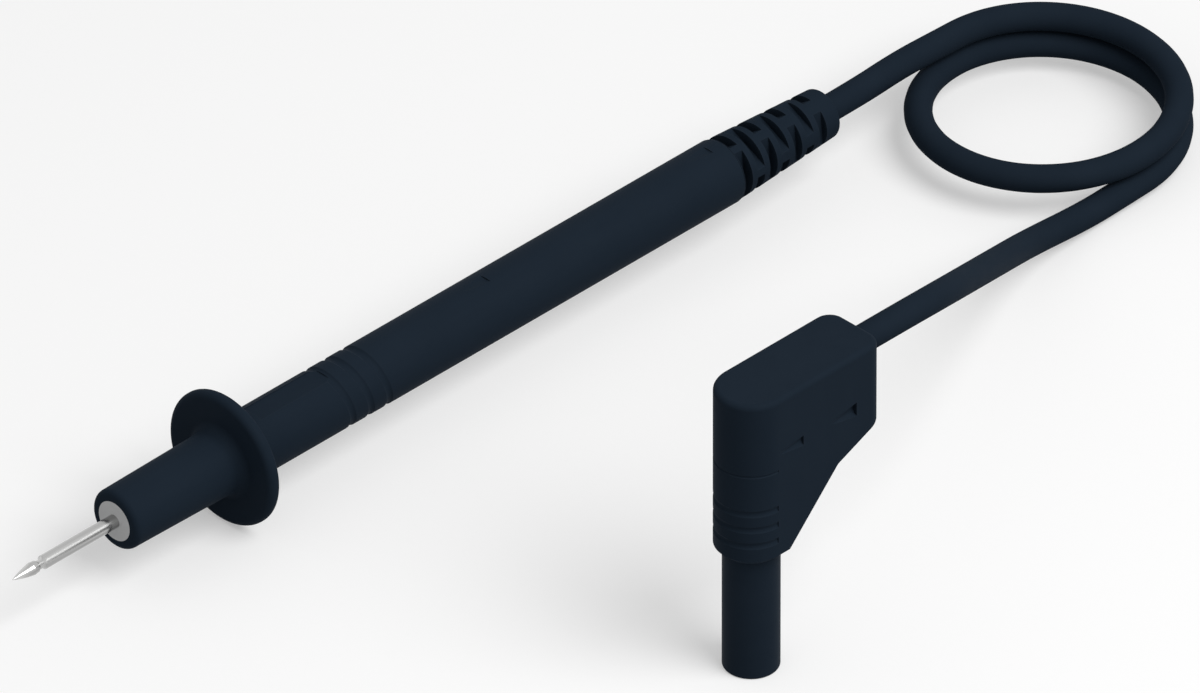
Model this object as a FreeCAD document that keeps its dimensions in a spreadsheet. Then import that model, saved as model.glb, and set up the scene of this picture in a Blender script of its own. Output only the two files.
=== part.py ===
import FreeCAD, Part
import math
import os

import Sketcher
from FreeCAD import Placement, Rotation, Vector

# Test probe lead: a pointed hand probe, a looped cord and a right-angled shrouded 4 mm plug.
# Millimetres. The probe lies along X with its finger guard on the ground plane, and X = 0 is its middle.
# The plug stands on the end of its shroud.

sizes = {
    # Needle, measured from its tip
    "pointLength": 3.6,
    "pointRadius": 0.94,
    "pointBulge": 0.12,
    "apexLength": 0.15,
    "apexRadius": 0.1,
    "pointLand": 0.75,
    "pointLandRadius": 0.86,
    "neckSlope": 0.3,
    "neckLength": 0.73,
    "neckRadius": 0.66,
    "needleRadius": 1.0,
    "needleReach": 19.06,
    "shankRadius": 0.8,
    "shankTail": 15.0,
    "collarSetback": 10.5,
    "collarLength": 3.0,
    "collarRadius": 1.7,
    # Nose and finger guard
    "insulatorRadius": 2.96,
    "noseLength": 19.8,
    "noseFrontRadius": 4.44,
    "noseBackRadius": 4.72,
    "noseEdge": 0.95,
    "guardRadius": 10.0,
    "guardThickness": 1.74,
    "guardRim": 0.5,
    "guardBand": 0.24,
    "guardRoot": 1.2,
    "spigotRadius": 3.3,
    "spigotLength": 13.0,
    "pocketRadius": 1.95,
    "pocketLength": 17.0,
    # Handle
    "handleRadius": 4.8,
    "handleLength": 94.2,
    "handleBore": 2.4,
    "handleEdge": 0.25,
    "flatStart": 4.4,
    "flatLength": 13.4,
    "flatDepth": 0.45,
    "flatWidth": 3.5,
    "ringStart": 18.75,
    "ringPitch": 3.475,
    "ringLean": 1.2,
    "ringTrack": 0.75,
    "ringSection": 1.05,
    "ringCount": 3,
    "frontMarkSetback": 45.3,
    "rearMarkSetback": 2.4,
    "handleMarkLength": 4.6,
    "handleMarkLift": 3.3,
    "handleMarkDepth": 0.24,
    # Strain relief
    "reliefLength": 19.7,
    "reliefFrontRadius": 4.7,
    "reliefBackRadius": 3.68,
    "reliefEdge": 0.5,
    "reliefRootLength": 12.1,
    "slotStart": 0.1,
    "slotWidth": 1.5,
    "slotPitch": 2.535,
    "slotFloor": 2.75,
    "slotTurn": 55.5,
    "slotsPerRing": 3,
    "slotRings": 7,
    # Joint of needle and conductor
    "ferruleFront": 43.5,
    "ferruleLength": 11.5,
    "ferruleRadius": 1.5,
    "dentDepth": 0.25,
    "dentWidth": 1.2,
    "dentPitch": 2.6,
    "sleeveWall": 0.4,
    "sleeveOverhang": 1.2,
    # Cord and its layers
    "cordRadius": 2.0,
    "insulationRadius": 1.3,
    "conductorRadius": 0.6,
    "conductorGap": 0.5,
    "insulationStrip": 1.6,
    "jacketStrip": 11.0,
    "clampRadius": 2.7,
    "clampLength": 4.5,
    "clampGap": 0.5,
    # Plug shroud, core and pin, measured up from the end of the shroud
    "shroudRadius": 3.95,
    "shroudBore": 2.95,
    "shroudEdge": 0.3,
    "shroudTop": 29.0,
    "shroudNeckRadius": 3.7,
    "shroudRootRadius": 4.3,
    "shroudRootStart": 1.0,
    "shroudRibRadius": 4.55,
    "shroudRibStart": 22.0,
    "shroudRibLength": 2.5,
    "coreBottom": 21.0,
    "stemRadius": 1.15,
    "stemEnd": 3.0,
    "tipEnd": 1.6,
    "tipTop": 4.8,
    "tipRadius": 1.8,
    "tipEdge": 0.8,
    "basketLength": 13.2,
    "basketPlay": 0.1,
    "basketBulge": 0.68,
    "basketWall": 0.17,
    "basketCollar": 1.2,
    "basketSlot": 0.35,
    "basketSlotPairs": 4,
    "spinClearance": 0.05,
    "pinRadius": 1.55,
    "pinTop": 36.0,
    "pinCollarRadius": 2.1,
    "pinCollarStart": 24.0,
    "pinCollarLength": 1.5,
    "cupFloor": 31.0,
    # Plug body, measured up from the end of the shroud and back from the pin
    "bodyBottom": 19.15,
    "bodyChamfer": 1.1,
    "bodyHalfWidth": 5.15,
    "bodyRear": 20.04,
    "rearCorner": 2.5,
    "topEdge": 0.8,
    "heelX": 2.17,
    "kneeX": 11.3,
    "kneeHeight": 29.6,
    "rearBottom": 33.3,
    "gripTop": 28.0,
    "gripPitch": 2.6,
    "gripCount": 3,
    "gripTrack": 0.6,
    "gripSection": 0.8,
    "seamHeight": 34.1,
    "seamTrack": 0.12,
    "seamSection": 0.25,
    "plugFrontMark": 4.7,
    "plugRearMark": 14.8,
    "plugMarkHeight": 36.8,
    "plugFrontMarkLift": 0.4,
    "plugFrontMarkDepth": 0.48,
    "plugRearMarkLift": 0.35,
    "plugRearMarkDepth": 0.8,
    "plugMarkLength": 4.9,
    "cableHeight": 42.55,
    "cableCover": 3.07,
    "cableBend": 5.0,
    "plugJacketEnd": 9.0,
    "plugClampLength": 3.0,
    "plugClampRadius": 1.9,
    # Where the plug stands and where the loop of the cord lies
    "plugX": -11.15,
    "plugY": -73.8,
    "loopX": 104.54,
    "loopY": -16.76,
    "loopRadius": 17.91,
    "loopPitch": 4.42,
    "loopEndHeight": 2.35,
}

# Free stretches of the cord, as points chosen by hand
probeSideRoute = [
    (77.25, 0.0, 10.0),
    (84.3, 0.0, 10.0),
    (93.54, 1.15, 9.41),
    (100.54, 1.15, 9.14),
]
plugSideRoute = [
    (100.54, -34.67, 2.19),
    (93.5, -34.67, 1.92),
    (80.09, -36.67, 4.84),
    (63.4, -47.4, 15.72),
    (45.85, -59.39, 27.86),
    (28.27, -70.9, 39.52),
    (16.99, -73.8, 42.55),
    (8.89, -73.8, 42.55),
]
quarterTurnsOfLoop = 6
shareOfRun = 0.45
axialSlack = 1.0


class Size(float):
    """A number that carries the sheet formula it comes from"""

    def __new__(cls, value, formula):
        size = super().__new__(cls, value)
        size.formula = formula
        return size

    def __add__(self, other):
        return combine(self, "+", other)

    def __radd__(self, other):
        return combine(other, "+", self)

    def __sub__(self, other):
        return combine(self, "-", other)

    def __rsub__(self, other):
        return combine(other, "-", self)

    def __mul__(self, other):
        return combine(self, "*", other)

    def __rmul__(self, other):
        return combine(other, "*", self)

    def __truediv__(self, other):
        return combine(self, "/", other)

    def __neg__(self):
        return combine(0.0, "-", self)


def formulaOf(number):
    return getattr(number, "formula", str(float(number)))


def combine(left, sign, right):
    a = float(left)
    b = float(right)
    value = {"+": a + b, "-": a - b, "*": a * b, "/": a / b if b else 0.0}[sign]
    return Size(value, f"({formulaOf(left)} {sign} {formulaOf(right)})")


doc = FreeCAD.newDocument("TestProbeLead")
sheet = doc.addObject("Spreadsheet::Sheet", "Sizes")
for row, (name, value) in enumerate(sizes.items(), 1):
    sheet.set(f"A{row}", name)
    sheet.set(f"B{row}", str(value))
    sheet.setAlias(f"B{row}", name)
doc.recompute()


class Sheet:
    """Reads each size of the sheet by its name"""

    def __getattr__(self, name):
        return Size(float(sheet.get(name)), f"Sizes.{name}")


s = Sheet()

# Stations along the probe, from the needle's tip
noseFront = s.needleReach
collarFront = noseFront + s.collarSetback
collarBack = collarFront + s.collarLength
shankBack = collarBack + s.shankTail
guardFront = noseFront + s.noseLength
guardBack = guardFront + s.guardThickness
spigotBack = guardBack + s.spigotLength
handleBack = guardBack + s.handleLength
reliefRootFront = handleBack - s.reliefRootLength
reliefBack = handleBack + s.reliefLength
clampFront = reliefRootFront + s.clampGap
clampBack = clampFront + s.clampLength
ferruleBack = s.ferruleFront + s.ferruleLength
insulationFront = ferruleBack + s.insulationStrip
jacketFront = ferruleBack + s.jacketStrip

# Heights along the plug, from the end of the shroud
shroudRootBottom = s.bodyBottom + s.shroudRootStart
shroudRibTop = s.shroudRibStart + s.shroudRibLength
pinCollarTop = s.pinCollarStart + s.pinCollarLength
basketBottom = s.tipTop + s.basketPlay
basketTop = basketBottom + s.basketLength
pinShoulder = basketTop + s.basketPlay
chamferTop = s.bodyBottom + s.bodyChamfer
bodyTop = s.cableHeight + s.cableCover
bendBottom = s.cableHeight - s.cableBend
plugClampFront = s.plugJacketEnd - s.plugClampLength

probePlace = (-reliefBack / 2, 0.0, s.guardRadius)
plugPlace = (s.plugX, s.plugY, 0.0)
cablePlace = (s.plugX, s.plugY, s.cableHeight)


def bind(thing, name, size):
    if isinstance(size, Size):
        thing.setExpression(name, size.formula)


def newBody(label, place):
    body = doc.addObject("PartDesign::Body", label)
    body.Placement = Placement(Vector(*place), Rotation())
    for letter, size in zip("xyz", place):
        bind(body, f"Placement.Base.{letter}", size)
    return body


def originItem(body, role):
    return next(item for item in body.Origin.OriginFeatures if item.Role == role)


def newSketch(body, role, label, offset=(0.0, 0.0, 0.0)):
    sketch = body.newObject("Sketcher::SketchObject", label)
    sketch.AttachmentSupport = (originItem(body, role), [""])
    sketch.MapMode = "FlatFace"
    sketch.AttachmentOffset = Placement(Vector(*offset), Rotation())
    for letter, size in zip("xyz", offset):
        bind(sketch, f"AttachmentOffset.Base.{letter}", size)
    return sketch


def pinPoint(sketch, geometry, end, across, up):
    for kind, axis, size in (("DistanceX", -2, across), ("DistanceY", -1, up)):
        if float(size) == 0.0:
            sketch.addConstraint(Sketcher.Constraint("PointOnObject", geometry, end, axis))
            continue
        index = sketch.addConstraint(Sketcher.Constraint(kind, -1, 1, geometry, end, float(size)))
        bind(sketch, f"Constraints[{index}]", size)


def flatPoint(corner):
    return Vector(float(corner[0]), float(corner[1]), 0)


def drawOutline(sketch, corners, bulges={}):
    """Closed outline through the corners. A bulge is a point of the arc that leaves its corner."""
    ends = []
    for index, corner in enumerate(corners):
        start = flatPoint(corner)
        end = flatPoint(corners[(index + 1) % len(corners)])
        if index not in bulges:
            sketch.addGeometry(Part.LineSegment(start, end))
            ends.append((1, 2))
            continue
        middle = flatPoint(bulges[index])
        leftTurn = (middle - start).cross(end - middle).z > 0
        arc = Part.Arc(start, middle, end) if leftTurn else Part.Arc(end, middle, start)
        sketch.addGeometry(arc)
        ends.append((1, 2) if leftTurn else (2, 1))
    for index, corner in enumerate(corners):
        previous = (index - 1) % len(corners)
        sketch.addConstraint(
            Sketcher.Constraint("Coincident", previous, ends[previous][1], index, ends[index][0])
        )
        pinPoint(sketch, index, ends[index][0], *corner)
    for index, bulge in bulges.items():
        mark = sketch.addGeometry(Part.Point(flatPoint(bulge)), True)
        pinPoint(sketch, mark, 1, *bulge)
        sketch.addConstraint(Sketcher.Constraint("PointOnObject", mark, 1, index))


def drawCircle(sketch, across, up, radius):
    index = sketch.addGeometry(Part.Circle(Vector(float(across), float(up), 0), Vector(0, 0, 1), float(radius)))
    pinPoint(sketch, index, 3, across, up)
    held = sketch.addConstraint(Sketcher.Constraint("Radius", index, float(radius)))
    bind(sketch, f"Constraints[{held}]", radius)


def drawAxis(sketch, start, end):
    index = sketch.addGeometry(Part.LineSegment(flatPoint(start), flatPoint(end)), True)
    pinPoint(sketch, index, 1, *start)
    pinPoint(sketch, index, 2, *end)


def turnProfile(body, sketch, kind, label, axis="H_Axis", angle=360.0, midplane=False):
    feature = body.newObject(f"PartDesign::{kind}", label)
    feature.Profile = sketch
    feature.ReferenceAxis = (sketch, [axis])
    feature.Midplane = midplane
    feature.Angle = float(angle)
    bind(feature, "Angle", angle)
    return feature


def turnedBody(label, place, corners, axis="H_Axis", bulges={}):
    """Piece turned from a half section in the XZ plane, about X (H_Axis) or about Z (V_Axis)"""
    body = newBody(label, place)
    sketch = newSketch(body, "XZ_Plane", f"{label}_section")
    drawOutline(sketch, corners, bulges)
    turnProfile(body, sketch, "Revolution", f"{label}_turned", axis)
    doc.recompute()
    return body


def repeatFeature(body, original, label, role, length, count):
    pattern = body.newObject("PartDesign::LinearPattern", label)
    pattern.Originals = [original]
    pattern.Direction = (originItem(body, role), [""])
    pattern.Length = float(length)
    bind(pattern, "Length", length)
    pattern.Occurrences = int(count)
    bind(pattern, "Occurrences", count)
    body.Tip = pattern
    doc.recompute()
    return pattern


def roundEdges(body, label, radius, chosen):
    """Rounds the edges of the body's last feature for which chosen(edge) is true"""
    base = body.Tip
    names = [f"Edge{n}" for n, edge in enumerate(base.Shape.Edges, 1) if chosen(edge)]
    if not names:
        raise RuntimeError(f"{label}: no edge found")
    feature = body.newObject("PartDesign::Fillet", label)
    feature.Base = (base, names)
    feature.Radius = float(radius)
    bind(feature, "Radius", radius)
    doc.recompute()
    return feature


def ringEdge(along, radius, letter="x"):
    """Test for a full or part circle of that radius at that place along the X or Z axis"""
    def test(edge):
        curve = edge.Curve
        if not isinstance(curve, Part.Circle):
            return False
        there = abs(getattr(curve.Center, letter) - float(along)) < 0.01
        return there and abs(curve.Radius - float(radius)) < 0.01
    return test


def sinkMark(body, label, place, length, lift, depth):
    """Sinks a widening cone along X, its axis outside the surface, deepest at its rear wall"""
    cone = body.newObject("PartDesign::SubtractiveCone", label)
    for name, size in (("Radius1", lift), ("Radius2", lift + depth), ("Height", length)):
        setattr(cone, name, float(size))
        bind(cone, name, size)
    cone.Placement = Placement(Vector(*place), Rotation(Vector(0, 1, 0), 90))
    for letter, size in zip("xyz", place):
        bind(cone, f"Placement.Base.{letter}", size)
    doc.recompute()


def makeNeedle():
    landBack = s.pointLength + s.pointLand
    neckFront = landBack + s.neckSlope
    neckBack = neckFront + s.neckLength
    return turnedBody("contact_needle", probePlace, [
        (0.0, 0.0),
        (s.apexLength, s.apexRadius),
        (s.pointLength, s.pointRadius),
        (landBack, s.pointLandRadius),
        (neckFront, s.neckRadius),
        (neckBack, s.neckRadius),
        (neckBack + s.neckSlope, s.needleRadius),
        (noseFront, s.needleRadius),
        (noseFront, s.shankRadius),
        (collarFront, s.shankRadius),
        (collarFront, s.collarRadius),
        (collarBack, s.collarRadius),
        (collarBack, s.shankRadius),
        (shankBack, s.shankRadius),
        (shankBack, 0.0),
    ], bulges={1: (s.pointLength / 2, s.pointRadius / 2 + s.pointBulge)})


def makeTipInsulator():
    return turnedBody("tip_insulator", probePlace, [
        (noseFront, s.shankRadius),
        (noseFront, s.insulatorRadius),
        (collarFront, s.insulatorRadius),
        (collarFront, s.shankRadius),
    ])


def makeNoseGuard():
    pocketFront = spigotBack - s.pocketLength
    body = turnedBody("nose_guard", probePlace, [
        (noseFront, s.insulatorRadius),
        (noseFront, s.noseFrontRadius),
        (guardFront, s.noseBackRadius),
        (guardFront, s.guardRadius),
        (guardBack, s.guardRadius),
        (guardBack, s.spigotRadius),
        (spigotBack, s.spigotRadius),
        (spigotBack, s.pocketRadius),
        (pocketFront, s.pocketRadius),
        (pocketFront, s.shankRadius),
        (collarBack, s.shankRadius),
        (collarBack, s.collarRadius),
        (collarFront, s.collarRadius),
        (collarFront, s.insulatorRadius),
    ])
    roundEdges(body, "nose_edge", s.noseEdge, ringEdge(noseFront, s.noseFrontRadius))
    roundEdges(body, "guard_root", s.guardRoot, ringEdge(guardFront, s.noseBackRadius))
    # The rim is rounded well in front and less behind, with a narrow band between
    frontRound = s.guardThickness - s.guardBand - s.guardRim
    roundEdges(body, "guard_front_rim", frontRound, ringEdge(guardFront, s.guardRadius))
    roundEdges(body, "guard_back_rim", s.guardRim, ringEdge(guardBack, s.guardRadius))
    return body


def makeHandle():
    body = turnedBody("handle_shell", probePlace, [
        (guardBack, s.spigotRadius),
        (guardBack, s.handleRadius),
        (handleBack, s.handleRadius),
        (handleBack, s.spigotRadius),
        (reliefRootFront, s.spigotRadius),
        (reliefRootFront, s.handleBore),
        (spigotBack, s.handleBore),
        (spigotBack, s.spigotRadius),
    ])
    roundEdges(body, "handle_edge", s.handleEdge, ringEdge(handleBack, s.handleRadius))
    flatFront = guardBack + s.flatStart
    flatBack = flatFront + s.flatLength
    sketch = newSketch(body, "XY_Plane", "thumb_flat_plan", (0.0, 0.0, s.handleRadius - s.flatDepth))
    drawOutline(sketch, [
        (flatFront, -s.flatWidth / 2),
        (flatBack, -s.flatWidth / 2),
        (flatBack, s.flatWidth / 2),
        (flatFront, s.flatWidth / 2),
    ])
    flat = body.newObject("PartDesign::Pocket", "thumb_flat")
    flat.Profile = sketch
    flat.Length = 2 * float(s.flatDepth)
    bind(flat, "Length", s.flatDepth * 2)
    flat.Reversed = True
    doc.recompute()
    # Leaning finger rings: the top of each ring lies nearer the guard than its sides
    ringX = guardBack + s.ringStart
    track = s.handleRadius + s.ringTrack
    rings = newSketch(body, "XZ_Plane", "finger_ring_section")
    drawCircle(rings, ringX - s.ringLean, track, s.ringSection)
    drawAxis(rings, (ringX, 0.0), (ringX + track, s.ringLean))
    ring = turnProfile(body, rings, "Groove", "finger_ring", "Axis0")
    doc.recompute()
    repeatFeature(body, ring, "finger_rings", "X_Axis", s.ringPitch * (s.ringCount - 1), s.ringCount)
    top = s.handleRadius + s.handleMarkLift
    for label, setback in (("front_mark", s.frontMarkSetback), ("rear_mark", s.rearMarkSetback)):
        start = handleBack - setback - s.handleMarkLength
        sinkMark(body, label, (start, 0.0, top), s.handleMarkLength, s.handleMarkLift, s.handleMarkDepth)
    return body


def makeStrainRelief():
    body = turnedBody("strain_relief", probePlace, [
        (reliefRootFront, s.clampRadius),
        (reliefRootFront, s.spigotRadius),
        (handleBack, s.spigotRadius),
        (handleBack, s.reliefFrontRadius),
        (reliefBack, s.reliefBackRadius),
        (reliefBack, s.cordRadius),
        (clampBack, s.cordRadius),
        (clampBack, s.clampRadius),
    ])
    roundEdges(body, "relief_edge", s.reliefEdge, ringEdge(reliefBack, s.reliefBackRadius))
    # Rings of flat-floored slots with webs between them, each ring turned half a slot from the last
    halfStep = 180.0 / s.slotsPerRing
    for parity, label in enumerate(("odd_slots", "even_slots")):
        front = handleBack + s.slotStart + s.slotPitch * parity
        sketch = newSketch(body, "XY_Plane", f"{label}_section")
        turn = s.slotTurn + halfStep * parity
        sketch.AttachmentOffset = Placement(Vector(), Rotation(Vector(1, 0, 0), float(turn)))
        sketch.setExpression("AttachmentOffset.Rotation.Angle", turn.formula)
        drawOutline(sketch, [
            (front, s.slotFloor),
            (front + s.slotWidth, s.slotFloor),
            (front + s.slotWidth, s.handleRadius),
            (front, s.handleRadius),
        ])
        slot = body.newObject("PartDesign::Pocket", label)
        slot.Profile = sketch
        slot.Midplane = True
        slot.Length = 2 * float(s.handleRadius)
        bind(slot, "Length", s.handleRadius * 2)
        doc.recompute()
        copies = body.newObject("PartDesign::MultiTransform", f"{label}_copies")
        around = body.newObject("PartDesign::PolarPattern", f"{label}_around")
        along = body.newObject("PartDesign::LinearPattern", f"{label}_along")
        around.Axis = (originItem(body, "X_Axis"), [""])
        around.Angle = 360.0
        around.Occurrences = int(s.slotsPerRing)
        bind(around, "Occurrences", s.slotsPerRing)
        rings = (int(s.slotRings) + 1 - parity) // 2
        along.Direction = (originItem(body, "X_Axis"), [""])
        along.Length = 2 * float(s.slotPitch) * (rings - 1)
        bind(along, "Length", s.slotPitch * (2 * (rings - 1)))
        along.Occurrences = rings
        copies.Originals = [slot]
        copies.Transformations = [around, along]
        body.Tip = copies
        doc.recompute()
    return body


def makeFerrule():
    top = s.ferruleRadius
    low = s.ferruleRadius - s.dentDepth
    dents = []
    middle = (s.ferruleFront + ferruleBack) / 2
    for side in (-1, 1):
        dent = middle + s.dentPitch * side
        dents += [
            (dent - s.dentWidth / 2, top),
            (dent - s.dentWidth / 4, low),
            (dent + s.dentWidth / 4, low),
            (dent + s.dentWidth / 2, top),
        ]
    return turnedBody("needle_ferrule", probePlace, [
        (s.ferruleFront, s.shankRadius),
        (s.ferruleFront, top),
        *dents,
        (ferruleBack, top),
        (ferruleBack, s.conductorRadius),
        (shankBack, s.conductorRadius),
        (shankBack, s.shankRadius),
    ])


def makeRing(label, place, front, back, bore, radius):
    return turnedBody(label, place, [(front, bore), (front, radius), (back, radius), (back, bore)])


def makeProbeCordEnd():
    """Conductor, inner insulation and jacket, each cut back further than the one round it"""
    sleeveRadius = s.ferruleRadius + s.sleeveWall
    conductorFront = shankBack + s.conductorGap
    ends = [
        turnedBody("probe_conductor", probePlace, [
            (conductorFront, 0.0),
            (conductorFront, s.conductorRadius),
            (reliefBack, s.conductorRadius),
            (reliefBack, 0.0),
        ])
    ]
    rings = (
        ("ferrule_sleeve", s.ferruleFront, ferruleBack + s.sleeveOverhang, s.ferruleRadius, sleeveRadius),
        ("probe_insulation", insulationFront, reliefBack, s.conductorRadius, s.insulationRadius),
        ("probe_jacket", jacketFront, reliefBack, s.insulationRadius, s.cordRadius),
        ("probe_cord_clamp", clampFront, clampBack, s.cordRadius, s.clampRadius),
    )
    return ends + [makeRing(label, probePlace, *ring) for label, *ring in rings]


def makeShroud():
    body = turnedBody("plug_shroud", plugPlace, [
        (s.shroudBore, 0.0),
        (s.shroudRadius, 0.0),
        (s.shroudRadius, s.bodyBottom),
        (s.shroudNeckRadius, s.bodyBottom),
        (s.shroudNeckRadius, shroudRootBottom),
        (s.shroudRootRadius, shroudRootBottom),
        (s.shroudRootRadius, s.shroudRibStart),
        (s.shroudRibRadius, s.shroudRibStart),
        (s.shroudRibRadius, shroudRibTop),
        (s.shroudRootRadius, shroudRibTop),
        (s.shroudRootRadius, s.shroudTop),
        (s.shroudBore, s.shroudTop),
    ], "V_Axis")
    roundEdges(body, "shroud_edge", s.shroudEdge, ringEdge(0.0, s.shroudRadius, "z"))
    return body


def makeCore():
    return turnedBody("plug_core", plugPlace, [
        (s.pinRadius, s.coreBottom),
        (s.shroudBore, s.coreBottom),
        (s.shroudBore, s.shroudTop),
        (s.pinRadius, s.shroudTop),
        (s.pinRadius, pinCollarTop),
        (s.pinCollarRadius, pinCollarTop),
        (s.pinCollarRadius, s.pinCollarStart),
        (s.pinRadius, s.pinCollarStart),
    ], "V_Axis")


def makePin():
    return turnedBody("plug_pin", plugPlace, [
        (0.0, s.stemEnd),
        (s.stemRadius, s.stemEnd),
        (s.stemRadius, pinShoulder),
        (s.pinRadius, pinShoulder),
        (s.pinRadius, s.pinCollarStart),
        (s.pinCollarRadius, s.pinCollarStart),
        (s.pinCollarRadius, pinCollarTop),
        (s.pinRadius, pinCollarTop),
        (s.pinRadius, s.pinTop),
        (s.conductorRadius, s.pinTop),
        (s.conductorRadius, s.cupFloor),
        (0.0, s.cupFloor),
    ], "V_Axis")


def makePinTip():
    body = turnedBody("pin_tip", plugPlace, [
        (0.0, s.tipEnd),
        (s.tipRadius, s.tipEnd),
        (s.tipRadius, s.tipTop),
        (s.stemRadius, s.tipTop),
        (s.stemRadius, s.stemEnd),
        (0.0, s.stemEnd),
    ], "V_Axis")
    roundEdges(body, "tip_edge", s.tipEdge, ringEdge(s.tipEnd, s.tipRadius, "z"))
    return body


def makeBasket():
    """Two collars that turn on the stem, joined by bowed leaves with slots between them"""
    bore = s.stemRadius + s.spinClearance
    outside = bore + s.basketWall
    low = basketBottom + s.basketCollar
    high = basketTop - s.basketCollar
    middle = (low + high) / 2
    body = turnedBody("contact_basket", plugPlace, [
        (bore, basketBottom),
        (outside, basketBottom),
        (outside, low),
        (outside, high),
        (outside, basketTop),
        (bore, basketTop),
        (bore, high),
        (bore, low),
    ], "V_Axis", {2: (outside + s.basketBulge, middle), 6: (bore + s.basketBulge, middle)})
    sketch = newSketch(body, "XZ_Plane", "leaf_slot_plan")
    half = s.basketSlot / 2
    drawOutline(sketch, [(-half, low), (half, low), (half, high), (-half, high)])
    slot = body.newObject("PartDesign::Pocket", "leaf_slot")
    slot.Profile = sketch
    slot.Type = "ThroughAll"
    slot.Midplane = True
    doc.recompute()
    slots = body.newObject("PartDesign::PolarPattern", "leaf_slots")
    slots.Originals = [slot]
    slots.Axis = (originItem(body, "Z_Axis"), [""])
    count = s.basketSlotPairs
    slots.Angle = 180.0 * (float(count) - 1) / float(count)
    bind(slots, "Angle", 180.0 * (count - 1) / count)
    slots.Occurrences = int(count)
    bind(slots, "Occurrences", count)
    body.Tip = slots
    doc.recompute()
    return body


def drawBentPath(sketch, startX, endHeight):
    """Straight in from the rear, a quarter turn, and straight down the pin's axis"""
    corner = float(s.cableBend)
    height = float(s.cableHeight)
    slant = corner * (1 - math.sqrt(0.5))
    start = Vector(float(startX), height, 0)
    bendStart = Vector(corner, height, 0)
    bendMiddle = Vector(slant, height - slant, 0)
    bendEnd = Vector(0, height - corner, 0)
    sketch.addGeometry(Part.LineSegment(start, bendStart))
    sketch.addGeometry(Part.Arc(bendStart, bendMiddle, bendEnd))
    sketch.addGeometry(Part.LineSegment(bendEnd, Vector(0, float(endHeight), 0)))
    sketch.addConstraint(Sketcher.Constraint("Coincident", 1, 2, 2, 1))
    pinPoint(sketch, 0, 1, startX, s.cableHeight)
    pinPoint(sketch, 0, 2, s.cableBend, s.cableHeight)
    pinPoint(sketch, 2, 1, 0.0, bendBottom)
    pinPoint(sketch, 2, 2, 0.0, endHeight)
    sketch.addConstraint(Sketcher.Constraint("Tangent", 0, 2, 1, 1))


def sweepBent(body, kind, label, startX, endHeight, radii):
    path = newSketch(body, "XZ_Plane", f"{label}_path")
    drawBentPath(path, startX, endHeight)
    section = newSketch(body, "YZ_Plane", f"{label}_section", (0.0, 0.0, startX))
    for radius in radii:
        drawCircle(section, 0.0, s.cableHeight, radius)
    pipe = body.newObject(f"PartDesign::{kind}", label)
    pipe.Profile = section
    pipe.Spine = path
    doc.recompute()


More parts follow.
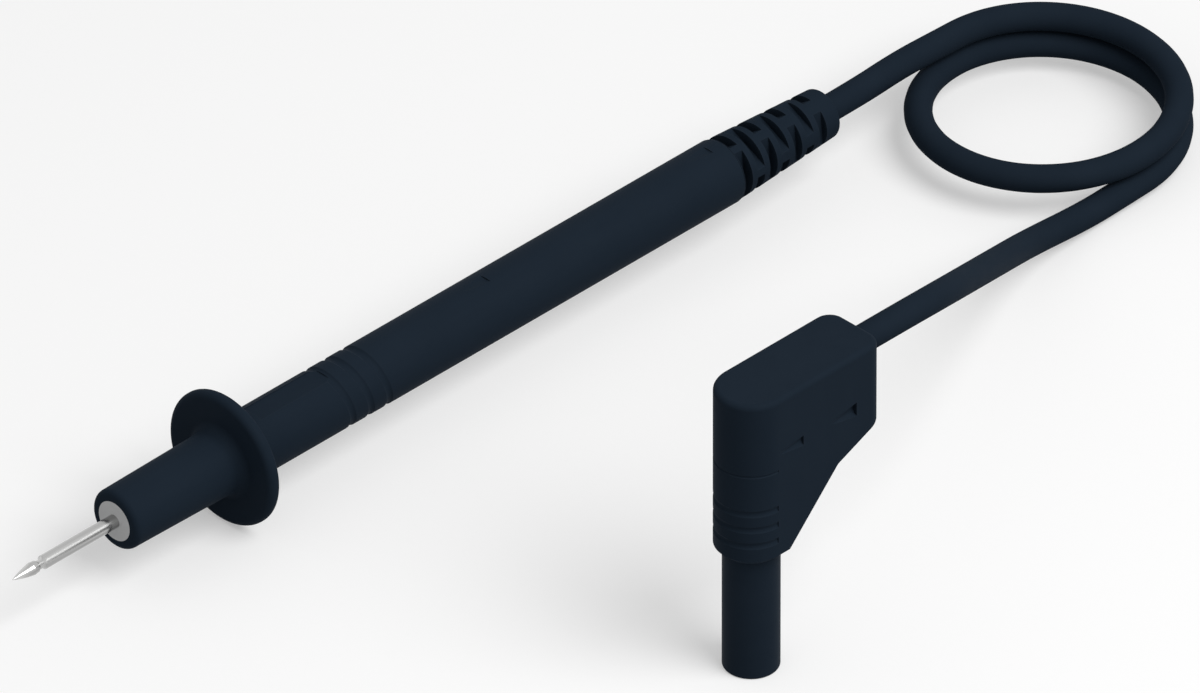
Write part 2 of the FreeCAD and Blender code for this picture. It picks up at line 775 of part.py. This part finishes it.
def makePlugBody():
    body = turnedBody("plug_body", plugPlace, [
        (0.0, s.bodyBottom),
        (s.shroudRadius, s.bodyBottom),
        (s.bodyHalfWidth, chamferTop),
        (s.bodyHalfWidth, bodyTop),
        (0.0, bodyTop),
    ], "V_Axis")
    plan = newSketch(body, "XY_Plane", "cable_arm_plan", (0.0, 0.0, chamferTop))
    drawOutline(plan, [
        (0.0, -s.bodyHalfWidth),
        (s.bodyRear, -s.bodyHalfWidth),
        (s.bodyRear, s.bodyHalfWidth),
        (0.0, s.bodyHalfWidth),
    ])
    arm = body.newObject("PartDesign::Pad", "cable_arm")
    arm.Profile = plan
    arm.Length = float(bodyTop - chamferTop)
    bind(arm, "Length", bodyTop - chamferTop)
    doc.recompute()

    def rearUpright(edge):
        ends = [vertex.Point for vertex in edge.Vertexes]
        upright = len(ends) == 2 and abs(ends[0].z - ends[1].z) > 1
        return upright and all(abs(end.x - float(s.bodyRear)) < 0.01 for end in ends)

    roundEdges(body, "rear_corners", s.rearCorner, rearUpright)
    # Underside: a steep slope up from the column, then a shallow one to the rear
    side = newSketch(body, "XZ_Plane", "underside_outline")
    beyond = s.bodyRear + s.rearCorner
    rise = (s.rearBottom - s.kneeHeight) / (s.bodyRear - s.kneeX)
    drawOutline(side, [
        (s.heelX, chamferTop - s.bodyChamfer),
        (s.heelX, chamferTop),
        (s.kneeX, s.kneeHeight),
        (beyond, s.kneeHeight + rise * (beyond - s.kneeX)),
        (beyond, chamferTop - s.bodyChamfer),
    ])
    under = body.newObject("PartDesign::Pocket", "underside")
    under.Profile = side
    under.Type = "ThroughAll"
    under.Midplane = True
    doc.recompute()

    def topOutline(edge):
        return all(abs(vertex.Z - float(bodyTop)) < 0.01 for vertex in edge.Vertexes)

    roundEdges(body, "top_edge", s.topEdge, topOutline)
    # Grip grooves and a fine seam round the front half of the column
    grips = newSketch(body, "XZ_Plane", "grip_section")
    drawCircle(grips, -(s.bodyHalfWidth + s.gripTrack), s.gripTop, s.gripSection)
    grip = turnProfile(body, grips, "Groove", "grip_groove", "V_Axis", 180.0, True)
    doc.recompute()
    pattern = repeatFeature(body, grip, "grip_grooves", "Z_Axis", s.gripPitch * (s.gripCount - 1), s.gripCount)
    pattern.Reversed = True
    seam = newSketch(body, "XZ_Plane", "seam_section")
    drawCircle(seam, -(s.bodyHalfWidth + s.seamTrack), s.seamHeight, s.seamSection)
    turnProfile(body, seam, "Groove", "seam_groove", "V_Axis", 180.0, True)
    doc.recompute()
    marks = (
        ("front_mark", s.plugFrontMark, s.plugFrontMarkLift, s.plugFrontMarkDepth),
        ("rear_mark", s.plugRearMark, s.plugRearMarkLift, s.plugRearMarkDepth),
    )
    for side in (-1, 1):
        for label, back, lift, depth in marks:
            place = (back - s.plugMarkLength, (s.bodyHalfWidth + lift) * side, s.plugMarkHeight)
            sinkMark(body, f"plug_{label}", place, s.plugMarkLength, lift, depth)
    # Seats for the shroud, the pin, the bent conductor and the cord
    seat = newSketch(body, "XZ_Plane", "column_seat")
    drawOutline(seat, [
        (0.0, s.bodyBottom - axialSlack),
        (s.shroudNeckRadius, s.bodyBottom - axialSlack),
        (s.shroudNeckRadius, shroudRootBottom),
        (s.shroudRootRadius, shroudRootBottom),
        (s.shroudRootRadius, s.shroudRibStart),
        (s.shroudRibRadius, s.shroudRibStart),
        (s.shroudRibRadius, shroudRibTop),
        (s.shroudRootRadius, shroudRibTop),
        (s.shroudRootRadius, s.shroudTop),
        (s.pinRadius, s.shroudTop),
        (s.pinRadius, s.pinTop),
        (0.0, s.pinTop),
    ])
    turnProfile(body, seat, "Groove", "column_seat_cut", "V_Axis")
    doc.recompute()
    cable = newSketch(body, "XZ_Plane", "cable_seat", (0.0, s.cableHeight, 0.0))
    drawOutline(cable, [
        (plugClampFront, 0.0),
        (plugClampFront, s.plugClampRadius),
        (s.plugJacketEnd, s.plugClampRadius),
        (s.plugJacketEnd, s.cordRadius),
        (s.bodyRear + axialSlack, s.cordRadius),
        (s.bodyRear + axialSlack, 0.0),
    ])
    turnProfile(body, cable, "Groove", "cable_seat_cut", "H_Axis")
    doc.recompute()
    sweepBent(body, "SubtractivePipe", "conductor_way", s.plugJacketEnd, s.pinTop, [s.insulationRadius])
    return body


def makePlugCordEnd():
    """Conductor and inner insulation bend down to the pin, the jacket stops short of the bend"""
    conductor = newBody("plug_conductor", plugPlace)
    endOfConductor = s.cupFloor + s.conductorGap
    sweepBent(conductor, "AdditivePipe", "plug_conductor_pipe", s.bodyRear, endOfConductor, [s.conductorRadius])
    insulation = newBody("plug_insulation", plugPlace)
    layers = [s.insulationRadius, s.conductorRadius]
    sweepBent(insulation, "AdditivePipe", "plug_insulation_pipe", s.bodyRear, s.pinTop, layers)
    jacket = makeRing("plug_jacket", cablePlace, s.plugJacketEnd, s.bodyRear, s.insulationRadius, s.cordRadius)
    clamp = makeRing(
        "plug_cord_clamp", cablePlace, plugClampFront, s.plugJacketEnd, s.insulationRadius, s.plugClampRadius
    )
    return [conductor, insulation, jacket, clamp]


def arcBetween(start, corner, end):
    """The arc that touches both legs of an even corner at its ends"""
    reach = start.distanceToPoint(corner)
    spread = start.distanceToPoint(end) / (2 * reach)
    weight = math.sqrt(max(0.0, 1 - spread * spread))
    flank = spread
    middle = (start + end + corner * (2 * flank)) * (1 / (2 * (1 + flank)))
    return Part.Arc(start, middle, end), weight


def tubePath(points):
    """Straight runs joined by tangent arcs, each as large as its shorter run allows"""
    edges = []
    radii = []
    last = points[0]
    for before, corner, after in zip(points, points[1:], points[2:]):
        arriving = (corner - before).normalize()
        leaving = (after - corner).normalize()
        cut = shareOfRun * min(before.distanceToPoint(corner), corner.distanceToPoint(after))
        turn = arriving.getAngle(leaving)
        radii.append(cut / math.tan(turn / 2))
        arcStart = corner - arriving * cut
        arcEnd = corner + leaving * cut
        edges.append(Part.LineSegment(last, arcStart).toShape())
        edges.append(arcBetween(arcStart, corner, arcEnd)[0].toShape())
        last = arcEnd
    edges.append(Part.LineSegment(last, points[-1]).toShape())
    return Part.Wire(edges), radii


def sweepTube(path, start, direction, radius):
    ring = Part.Wire([Part.Circle(start, direction, radius).toShape()])
    return path.makePipeShell([ring], True, False)


def makeCord(label, solid, path, radius):
    length = path.Length
    expected = math.pi * radius ** 2 * length
    print(f"{label}: length {length:.2f} mm, volume {solid.Volume:.1f} of {expected:.1f} cubic mm")
    if abs(solid.Volume / expected - 1) > 0.01:
        raise RuntimeError(f"{label}: the tube's volume is wrong")
    cord = doc.addObject("Part::Feature", label)
    cord.Shape = solid
    cord.Placement = Placement()
    return cord


def makeStretch(label, route):
    points = [Vector(*point) for point in route]
    radius = float(s.cordRadius)
    path, radii = tubePath(points)
    print(f"{label}: bend radii " + ", ".join(f"{bend:.0f}" for bend in radii))
    solid = sweepTube(path, points[0], points[1] - points[0], radius)
    return makeCord(label, solid, path, radius)


def loopPoint(turn):
    """Centre line of the loop after that share of a turn, clockwise seen from above"""
    angle = 2 * math.pi * turn
    wholeTurns = quarterTurnsOfLoop / 4
    return Vector(
        float(s.loopX) + float(s.loopRadius) * math.sin(angle),
        float(s.loopY) + float(s.loopRadius) * math.cos(angle),
        float(s.loopEndHeight) + float(s.loopPitch) * (wholeTurns - turn),
    )


def loopDirection(turn):
    angle = 2 * math.pi * turn
    around = 2 * math.pi * float(s.loopRadius)
    flat = Vector(math.cos(angle), -math.sin(angle), -float(s.loopPitch) / around)
    return flat.normalize()


def biarc(start, startWay, end, endWay):
    """Two arcs of equal reach that leave start and reach end in the given directions"""
    gap = end - start
    both = startWay + endWay
    spread = 2 * (1 - startWay.dot(endWay))
    lean = gap.dot(both)
    reach = (math.sqrt(lean * lean + spread * gap.dot(gap)) - lean) / spread
    firstCorner = start + startWay * reach
    secondCorner = end - endWay * reach
    middle = (firstCorner + secondCorner) * 0.5
    return [arcBetween(start, firstCorner, middle)[0], arcBetween(middle, secondCorner, end)[0]]


def makeLoop():
    radius = float(s.cordRadius)
    turns = [quarter / 4 for quarter in range(quarterTurnsOfLoop + 1)]
    first = loopPoint(turns[0]) - loopDirection(turns[0]) * (2 * radius)
    last = loopPoint(turns[-1]) + loopDirection(turns[-1]) * (2 * radius)
    edges = [Part.LineSegment(first, loopPoint(turns[0])).toShape()]
    for here, there in zip(turns, turns[1:]):
        arcs = biarc(loopPoint(here), loopDirection(here), loopPoint(there), loopDirection(there))
        edges += [arc.toShape() for arc in arcs]
    edges.append(Part.LineSegment(loopPoint(turns[-1]), last).toShape())
    path = Part.Wire(edges)
    print(f"cord_loop: least gap to itself {leastLoopGap(path, radius):.3f} mm")
    return makeCord("cord_loop", sweepTube(path, first, loopDirection(turns[0]), radius), path, radius)


def leastLoopGap(path, radius):
    """Least distance between two parts of the loop more than a quarter turn apart, less the tube"""
    points = path.discretize(Number=600)
    apart = math.pi * float(s.loopRadius) / 2
    skip = int(apart / path.Length * len(points)) + 1
    nearest = min(
        a.distanceToPoint(b) for i, a in enumerate(points) for b in points[i + skip:]
    )
    return nearest - 2 * radius


parts = [
    makeNeedle(),
    makeTipInsulator(),
    makeNoseGuard(),
    makeHandle(),
    makeStrainRelief(),
    makeFerrule(),
    *makeProbeCordEnd(),
    makeShroud(),
    makeCore(),
    makePin(),
    makePinTip(),
    makeBasket(),
    makePlugBody(),
    *makePlugCordEnd(),
    makeStretch("cord_probe_side", probeSideRoute),
    makeLoop(),
    makeStretch("cord_plug_side", plugSideRoute),
]
doc.recompute()

for thing in doc.Objects:
    if "Invalid" in thing.State or "Error" in thing.State:
        raise RuntimeError(f"{thing.Label}: failed, {thing.State}")
    if thing.TypeId in ("PartDesign::Pocket", "PartDesign::Groove", "PartDesign::SubtractiveCone",
                        "PartDesign::SubtractivePipe"):
        removed = thing.BaseFeature.Shape.Volume - thing.Shape.Volume
        if removed < 1e-4:
            raise RuntimeError(f"{thing.Label}: cuts nothing")

os.makedirs("parts", exist_ok=True)
for part in parts:
    shape = part.Shape
    if shape.isNull() or not shape.isValid():
        raise RuntimeError(f"{part.Label}: no valid solid")
    box = shape.optimalBoundingBox(True, False)
    print(
        f"{part.Label}: solids {len(shape.Solids)}, volume {shape.Volume:.1f}, "
        f"X {box.XMin:.2f} to {box.XMax:.2f}, Y {box.YMin:.2f} to {box.YMax:.2f}, "
        f"Z {box.ZMin:.2f} to {box.ZMax:.2f}"
    )
    shape.exportStep(f"parts/{part.Label}.step")
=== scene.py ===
import math

import bpy
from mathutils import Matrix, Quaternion, Vector


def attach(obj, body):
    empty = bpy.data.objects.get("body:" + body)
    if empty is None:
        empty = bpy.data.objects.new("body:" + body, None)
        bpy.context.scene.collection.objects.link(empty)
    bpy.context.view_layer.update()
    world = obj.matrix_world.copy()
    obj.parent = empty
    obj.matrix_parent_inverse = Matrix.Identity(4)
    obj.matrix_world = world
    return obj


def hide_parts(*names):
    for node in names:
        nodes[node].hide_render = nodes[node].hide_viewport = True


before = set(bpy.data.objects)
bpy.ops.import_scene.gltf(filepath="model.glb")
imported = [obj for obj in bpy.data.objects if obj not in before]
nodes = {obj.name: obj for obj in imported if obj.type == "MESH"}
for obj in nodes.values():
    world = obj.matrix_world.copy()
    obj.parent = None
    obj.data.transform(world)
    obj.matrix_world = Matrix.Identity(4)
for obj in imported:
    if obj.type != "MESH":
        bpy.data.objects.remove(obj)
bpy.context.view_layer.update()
scene = bpy.context.scene
print("frame loaded:", len(nodes), "nodes")

mm = 0.001


# Shader maths: a Link is one output of a material's tree, and works with + - * and numbers
class Link:
    def __init__(self, board, socket):
        self.board = board
        self.socket = socket

    def math(self, operation, first, second=0.0):
        return self.board.node("Math", {"operation": operation}, {0: first, 1: second})

    def __add__(self, other):
        return self.math("ADD", self, other)

    def __radd__(self, other):
        return self.math("ADD", other, self)

    def __sub__(self, other):
        return self.math("SUBTRACT", self, other)

    def __rsub__(self, other):
        return self.math("SUBTRACT", other, self)

    def __mul__(self, other):
        return self.math("MULTIPLY", self, other)

    def __rmul__(self, other):
        return self.math("MULTIPLY", other, self)

    def clamped(self, low=0.0, high=1.0):
        return self.math("MINIMUM", self.math("MAXIMUM", self, low), high)

    # A noise as a swing to both sides of nought
    def swing(self):
        return self - 0.5


# A Board is the tree itself: node makes any node, and the others make the few that repeat
class Board:
    def __init__(self, tree):
        self.tree = tree
        tree.nodes.clear()

    # The kind comes without its prefix. Settings are set first, then the values or links of the inputs
    def node(self, kind, settings=None, inputs=None, output=0):
        made = self.tree.nodes.new("ShaderNode" + kind)
        for name, value in (settings or {}).items():
            setattr(made, name, value)
        for name, value in (inputs or {}).items():
            if isinstance(value, Link):
                self.tree.links.new(value.socket, made.inputs[name])
            else:
                made.inputs[name].default_value = value
        return Link(self, made.outputs[output]) if made.outputs else None

    def place(self):
        return self.node("TexCoord", output="Object")

    def noise(self, vector, size=1.0, detail=3.0, rough=0.5):
        return self.node("TexNoise", {"noise_dimensions": "3D"}, {
            "Vector": vector, "Scale": 1 / size, "Detail": detail, "Roughness": rough,
        })

    def stretched(self, vector, scale):
        return self.node("Mapping", {"vector_type": "POINT"}, {"Vector": vector, "Scale": scale})

    def blendColours(self, factor, first, second):
        return self.node("Mix", {"data_type": "RGBA"}, {"Factor": factor, 6: first, 7: second}, output=2)

    # 0 on open faces, up to 1 along edges nearer than the reach
    def edges(self, reach, gain, samples=4):
        rounded = self.node("Bevel", {"samples": samples}, {"Radius": reach})
        plain = self.node("NewGeometry", output="Normal")
        alike = self.node("VectorMath", {"operation": "DOT_PRODUCT"}, {0: rounded, 1: plain}, output="Value")
        return ((1 - alike) * gain).clamped()

    # 1 for what the camera sees, straight, through something clear or in a reflection
    def seen(self):
        camera = self.node("LightPath", output="Is Camera Ray")
        through = self.node("LightPath", output="Is Transmission Ray")
        glossy = self.node("LightPath", output="Is Glossy Ray")
        return (camera + through + glossy).clamped()


def newMaterial(name):
    material = bpy.data.materials.new(name)
    material.use_nodes = True
    return material, Board(material.node_tree)


def closeMaterial(board, finish, colour, roughness, height, depth):
    bump = board.node("Bump", None, {"Height": height, "Distance": depth, "Strength": 1.0})
    shader = board.node("BsdfPrincipled", None, {
        "Base Color": colour,
        "Roughness": roughness,
        "Normal": bump,
        "Metallic": finish.get("metallic", 0.0),
        "Specular IOR Level": finish.get("specular", 0.5),
    })
    board.node("OutputMaterial", None, {"Surface": shader})


# Moulded plastic: fine spark-eroded grain, a broad mottle in the gloss, edges rubbed paler and smoother; the
# paler edge colour is also a painted highlight
def mouldedPlastic(name, finish):
    material, board = newMaterial(name)
    place = board.place()
    grain = board.noise(place, finish["grain"], detail=2.0, rough=0.6)
    mottle = board.noise(place, finish["mottle"])
    flow = board.noise(board.stretched(place, finish["flow"]), detail=2.0)
    shade = (mottle * finish["mottleShade"] + flow * finish["flowShade"]).clamped()
    patchy = finish["evenWearAndHighlight"] + mottle * finish["mottleWearAndHighlight"]
    # The edge mask pales the colour along edges: rubbed wear and a painted highlight
    wearAndHighlight = board.edges(finish["edgeReach"], finish["edgeGain"]) * patchy
    skin = board.blendColours(shade, finish["dark"], finish["light"])
    colour = board.blendColours(wearAndHighlight.clamped(), skin, finish["wornAndHighlight"])
    roughness = finish["rough"] + mottle.swing() * finish["mottleRough"]
    roughness = roughness + grain.swing() * finish["grainRough"] - wearAndHighlight * finish["wearSmooth"]
    height = grain * finish["grainHeight"] + flow * finish["flowHeight"]
    closeMaterial(board, finish, colour, roughness.clamped(*finish["roughRange"]), height, finish["depth"])
    return material


plasticFinish = {
    "mottleShade": 0.6,
    "flowShade": 0.4,
    "evenWearAndHighlight": 0.55,
    "mottleWearAndHighlight": 0.6,
    "mottleRough": 0.16,
    "grainRough": 0.08,
    "wearSmooth": 0.12,
    "roughRange": (0.08, 0.95),
    "grainHeight": 0.7,
    "flowHeight": 0.3,
    "edgeGain": 3.0,
}
handleFinish = {
    **plasticFinish,
    "dark": (0.0101, 0.0168, 0.0264, 1),
    "light": (0.0146, 0.0229, 0.0348, 1),
    # The paler edge colour: rubbed wear and a painted edge highlight
    "wornAndHighlight": (0.0190, 0.0275, 0.0395, 1),
    "rough": 0.60,
    "specular": 0.012,
    "edgeReach": 0.22 * mm,
    "grain": 0.22 * mm,
    "mottle": 9 * mm,
    "flow": (60, 400, 400),
    "depth": 0.012 * mm,
}
plugFinish = dict(handleFinish, flow=(300, 300, 60))
shroudFinish = dict(handleFinish, rough=0.46, grain=0.16 * mm, depth=0.006 * mm)
reliefFinish = dict(handleFinish, rough=0.70, specular=0.009, grain=0.30 * mm, depth=0.018 * mm)
insulatorFinish = {
    **plasticFinish,
    "dark": (0.56, 0.565, 0.57, 1),
    "light": (0.64, 0.645, 0.65, 1),
    # The paler edge colour: rubbed wear and a painted edge highlight
    "wornAndHighlight": (0.70, 0.70, 0.70, 1),
    "rough": 0.48,
    "specular": 0.2,
    "edgeReach": 0.12 * mm,
    "grain": 0.15 * mm,
    "mottle": 3 * mm,
    "flow": (200, 200, 200),
    "depth": 0.006 * mm,
}
wireFinish = dict(insulatorFinish, dark=(0.60, 0.59, 0.56, 1), light=(0.70, 0.69, 0.66, 1),
                  wornAndHighlight=(0.74, 0.73, 0.70, 1))

handlePlastic = mouldedPlastic("handlePlastic", handleFinish)
plugPlastic = mouldedPlastic("plugPlastic", plugFinish)
shroudPlastic = mouldedPlastic("shroudPlastic", shroudFinish)
reliefRubber = mouldedPlastic("reliefRubber", reliefFinish)
insulatorGrey = mouldedPlastic("insulatorGrey", insulatorFinish)
wireInsulation = mouldedPlastic("wireInsulation", wireFinish)


# Extruded jacket: a fine skin, and a broad mottle in its colour and gloss
def extrudedJacket(name, finish):
    material, board = newMaterial(name)
    place = board.place()
    skin = board.noise(place, finish["skin"], rough=0.55)
    mottle = board.noise(place, finish["mottle"], detail=2.0)
    colour = board.blendColours(mottle, finish["dark"], finish["light"])
    roughness = finish["rough"] + mottle.swing() * finish["mottleRough"] + skin.swing() * finish["skinRough"]
    closeMaterial(board, finish, colour, roughness.clamped(*finish["roughRange"]), skin, finish["depth"])
    return material


jacketFinish = {
    "dark": (0.0109, 0.0176, 0.0274, 1),
    "light": (0.0152, 0.0236, 0.0356, 1),
    "rough": 0.68,
    "mottleRough": 0.2,
    "skinRough": 0.1,
    "roughRange": (0.08, 0.95),
    "specular": 0.005,
    "skin": 0.35 * mm,
    "mottle": 7 * mm,
    "depth": 0.010 * mm,
}
cordJacket = extrudedJacket("cordJacket", jacketFinish)


# Worked metal: fine rings where it is turned, long lines where it is ground or drawn, smears in the polish;
# on the needle the long dark lines are also painted reflections
def turnedMetal(name, finish):
    material, board = newMaterial(name)
    place = board.place()
    rings = board.noise(board.stretched(place, finish["rings"]), detail=2.0)
    smearAndReflection = board.noise(board.stretched(place, finish["smearAndReflection"]))
    # On the needle this blend is drawn lines and painted dark reflection streaks
    colour = board.blendColours(smearAndReflection, finish["dark"], finish["light"])
    roughness = finish["rough"] + smearAndReflection.swing() * finish["smearRough"] + rings.swing() * finish["ringRough"]
    closeMaterial(board, finish, colour, roughness.clamped(*finish["roughRange"]), rings, finish["depth"])
    return material


needleFinish = {
    # The needle's deep dark streaks: drawn lines and painted reflections
    "dark": (0.18, 0.18, 0.18, 1),
    "light": (0.82, 0.82, 0.81, 1),
    "metallic": 1.0,
    "rough": 0.20,
    "smearRough": 0.14,
    "ringRough": 0.08,
    "roughRange": (0.04, 0.8),
    "rings": (120, 9000, 9000),
    "smearAndReflection": (25, 1500, 1500),
    "depth": 0.0015 * mm,
}
contactFinish = dict(
    needleFinish, dark=(0.62, 0.45, 0.20, 1), light=(0.83, 0.64, 0.33, 1), rings=(60, 60, 9000),
    smearAndReflection=(900, 900, 250),
)
copperFinish = dict(contactFinish, dark=(0.55, 0.26, 0.14, 1), light=(0.80, 0.42, 0.26, 1), rough=0.28)
tinFinish = dict(needleFinish, dark=(0.42, 0.42, 0.41, 1), light=(0.60, 0.60, 0.58, 1), rough=0.34)

needleSteel = turnedMetal("needleSteel", needleFinish)
contactMetal = turnedMetal("contactMetal", contactFinish)
copperWire = turnedMetal("copperWire", copperFinish)
tinnedMetal = turnedMetal("tinnedMetal", tinFinish)

finishes = {
    "contact_needle": needleSteel,
    "tip_insulator": insulatorGrey,
    "nose_guard": handlePlastic,
    "handle_shell": handlePlastic,
    "strain_relief": reliefRubber,
    "needle_ferrule": tinnedMetal,
    "ferrule_sleeve": insulatorGrey,
    "probe_conductor": copperWire,
    "probe_insulation": wireInsulation,
    "probe_jacket": cordJacket,
    "probe_cord_clamp": tinnedMetal,
    "plug_shroud": shroudPlastic,
    "plug_core": insulatorGrey,
    "plug_pin": contactMetal,
    "pin_tip": shroudPlastic,
    "contact_basket": contactMetal,
    "plug_body": plugPlastic,
    "plug_conductor": copperWire,
    "plug_insulation": wireInsulation,
    "plug_jacket": cordJacket,
    "plug_cord_clamp": tinnedMetal,
}
for name, material in finishes.items():
    for slot in nodes[name].material_slots:
        slot.material = material
print("finishes:", len(finishes), "nodes")

# The cord: the same points as the solid's two stretches, with the loop's turns between them
cordSettings = {
    "diameter": 4.0,
    "probeSide": [
        (77.25, 0.0, 10.0),
        (84.3, 0.0, 10.0),
        (93.54, 1.15, 9.41),
        (100.54, 1.15, 9.14),
    ],
    "plugSide": [
        (100.54, -34.67, 2.19),
        (93.5, -34.67, 1.92),
        (80.09, -36.67, 4.84),
        (63.4, -47.4, 15.72),
        (45.85, -59.39, 27.86),
        (28.27, -70.9, 39.52),
        (16.99, -73.8, 42.55),
        (8.89, -73.8, 42.55),
    ],
    "loopCentre": (104.54, -16.76),
    "loopRadius": 17.91,
    "loopTop": 8.98,
    "loopPitch": 4.42,
    "loopTurns": 1.5,
    "pointsPerTurn": 16,
    "stepsPerSpan": 10,
    "roundSteps": 8,
}


def loopPoints(settings):
    count = round(settings["loopTurns"] * settings["pointsPerTurn"])
    outer = settings["loopRadius"] / math.cos(math.pi / settings["pointsPerTurn"])  # runs touch the circle
    points = []
    for step in range(count):
        turn = (step + 0.5) / settings["pointsPerTurn"]  # each corner is midway between two touching points
        angle = 2 * math.pi * turn
        points.append((
            settings["loopCentre"][0] + outer * math.sin(angle),
            settings["loopCentre"][1] + outer * math.cos(angle),
            settings["loopTop"] - settings["loopPitch"] * turn,
        ))
    return points


def makeCord(settings):
    route = settings["probeSide"] + loopPoints(settings) + settings["plugSide"]
    line = bpy.data.curves.new("leadCord", "CURVE")
    line.dimensions = "3D"
    spline = line.splines.new("NURBS")
    spline.points.add(len(route) - 1)
    for point, place in zip(spline.points, route):
        point.co = (*(part * mm for part in place), 1.0)
    spline.order_u = 3
    spline.use_endpoint_u = True
    spline.resolution_u = settings["stepsPerSpan"]
    line.bevel_depth = settings["diameter"] / 2 * mm
    line.bevel_resolution = settings["roundSteps"]
    line.use_fill_caps = True
    line.materials.append(cordJacket)
    cord = bpy.data.objects.new("leadCord", line)
    scene.collection.objects.link(cord)
    return cord


leadCord = makeCord(cordSettings)
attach(leadCord, "lead")
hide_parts("cord_probe_side", "cord_loop", "cord_plug_side")
print("cord laid")

# Stage: a pale floor that keeps the shadow, one large soft lamp, a fill and a white sky
white = (1, 1, 1, 1)
stageSettings = {
    "floorSize": 6.0,
    "floorColour": (0.66, 0.66, 0.66, 1),
    "floorBounce": (0.37, 0.37, 0.37, 1),
    "floorLift": 0.36,
    "keyPlace": (0.15, -0.75, 0.95),
    "keySize": 0.9,
    "keyPower": 10.0,
    "fillPlace": (-0.7, -0.35, 0.5),
    "fillSize": 0.8,
    "fillPower": 0.12,
    "aim": (0.02, -0.02, 0.01),
    "skyStrength": 0.42,
}


def makeFloor(settings):
    half = settings["floorSize"] / 2
    mesh = bpy.data.meshes.new("studioFloor")
    corners = [(-half, -half, 0), (half, -half, 0), (half, half, 0), (-half, half, 0)]
    mesh.from_pydata(corners, [], [(0, 1, 2, 3)])
    floor = bpy.data.objects.new("studioFloor", mesh)
    scene.collection.objects.link(floor)
    material, board = newMaterial("floorPaper")
    seen = board.seen()
    colour = board.blendColours(seen, settings["floorBounce"], settings["floorColour"])
    diffuse = board.node("BsdfDiffuse", None, {"Color": colour})
    glow = board.node("Emission", None, {"Color": white, "Strength": settings["floorLift"]})
    lift = board.node("MixShader", None, {0: seen, 2: glow})
    both = board.node("AddShader", None, {0: diffuse, 1: lift})
    board.node("OutputMaterial", None, {"Surface": both})
    mesh.materials.append(material)


def makeLamp(name, settings):
    light = bpy.data.lights.new(name + "Lamp", "AREA")
    light.shape = "DISK"
    light.size = settings[name + "Size"]
    light.energy = settings[name + "Power"]
    lamp = bpy.data.objects.new(name + "Lamp", light)
    place = Vector(settings[name + "Place"])
    lamp.location = place
    lamp.rotation_euler = (Vector(settings["aim"]) - place).to_track_quat("-Z", "Y").to_euler()
    scene.collection.objects.link(lamp)


def makeSky(settings):
    world = bpy.data.worlds.new("studioSky")
    world.use_nodes = True
    scene.world = world
    board = Board(world.node_tree)
    strength = settings["skyStrength"] + board.seen() * (1 - settings["skyStrength"])
    sky = board.node("Background", None, {"Color": white, "Strength": strength})
    board.node("OutputWorld", None, {"Surface": sky})


makeFloor(stageSettings)
makeLamp("key", stageSettings)
makeLamp("fill", stageSettings)
makeSky(stageSettings)

# A very long lens far off stands in for the photograph's parallel view
cameraSettings = {
    "aim": (16.7 * mm, -17.45 * mm, 9.85 * mm),
    "heading": (-1.0, -1.0, 1.0),
    "roll": 0.12,
    "lens": 900.0,
    "sensor": 36.0,
    "width": 162.5 * mm,
}


def makeCamera(settings):
    data = bpy.data.cameras.new("photoCamera")
    data.lens = settings["lens"]
    data.sensor_width = settings["sensor"]
    camera = bpy.data.objects.new("photoCamera", data)
    distance = settings["width"] * settings["lens"] / settings["sensor"]
    camera.location = Vector(settings["aim"]) + Vector(settings["heading"]).normalized() * distance
    turned = (-Vector(settings["heading"])).to_track_quat("-Z", "Y")
    camera.rotation_euler = (turned @ Quaternion((0, 0, 1), -math.radians(settings["roll"]))).to_euler()
    scene.collection.objects.link(camera)
    scene.camera = camera


makeCamera(cameraSettings)
scene.view_settings.view_transform = "Standard"
print("stage, lamps and camera ready")
